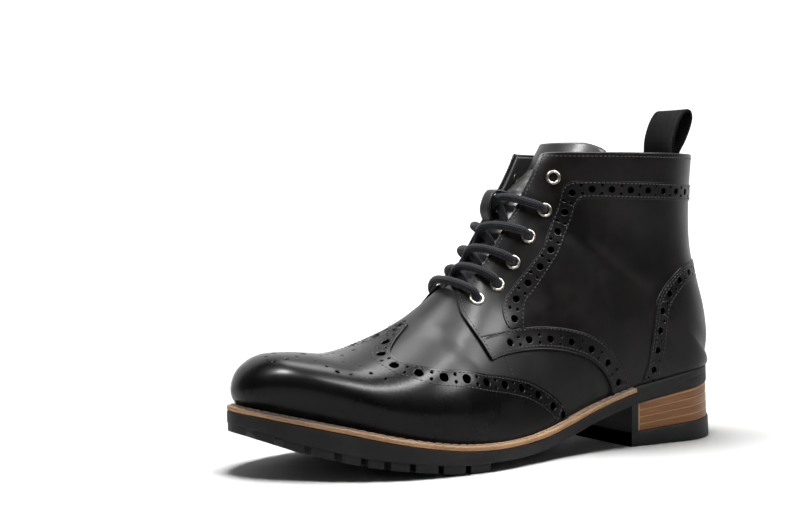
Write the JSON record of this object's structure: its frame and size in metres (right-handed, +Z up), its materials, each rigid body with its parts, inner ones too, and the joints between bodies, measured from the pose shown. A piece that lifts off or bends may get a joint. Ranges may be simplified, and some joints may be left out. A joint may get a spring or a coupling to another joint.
{
  "type": "brogue ankle boot",
  "caption": "Black leather lace-up ankle boot with punched wing tip toe, speckled collar band, tan welt and stacked heel on a lugged rubber sole, left foot.",
  "frame": {"origin": "on the floor under the middle of the sole's length and width", "axes": "+X towards the toe, +Y towards the outer side of the foot, +Z up"},
  "size_m": [0.3052, 0.1082, 0.1925],
  "materials": {
    "upper_leather": "polished smooth",
    "rubber": "matte",
    "heel_leather": "satin edge",
    "welt_leather": "satin",
    "insole_board": "matte",
    "webbing": "twill",
    "eyelet_metal": "antique nickel plating",
    "cord": "braided"
  },
  "bodies": {
    "root": {"outsole": "rubber", "heel_stack": "heel_leather", "welt": "welt_leather", "insole": "insole_board", "upper": "upper_leather", "toe_cap": "upper_leather", "quarter_lateral": "upper_leather", "quarter_medial": "upper_leather", "facing_band_lateral": "upper_leather", "facing_band_medial": "upper_leather", "heel_counter": "upper_leather", "tongue": "upper_leather", "lace_keeper": "upper_leather", "pull_loop": "webbing", "eyelet_lateral_1": "eyelet_metal", "eyelet_medial_1": "eyelet_metal", "eyelet_lateral_2": "eyelet_metal", "eyelet_medial_2": "eyelet_metal", "eyelet_lateral_3": "eyelet_metal", "eyelet_medial_3": "eyelet_metal", "eyelet_lateral_4": "eyelet_metal", "eyelet_medial_4": "eyelet_metal", "eyelet_lateral_5": "eyelet_metal", "eyelet_medial_5": "eyelet_metal", "eyelet_lateral_6": "eyelet_metal", "eyelet_medial_6": "eyelet_metal", "lace_1": "cord", "lace_2": "cord", "lace_3": "cord", "lace_4": "cord", "lace_5": "cord"}
  },
  "joints": []
}
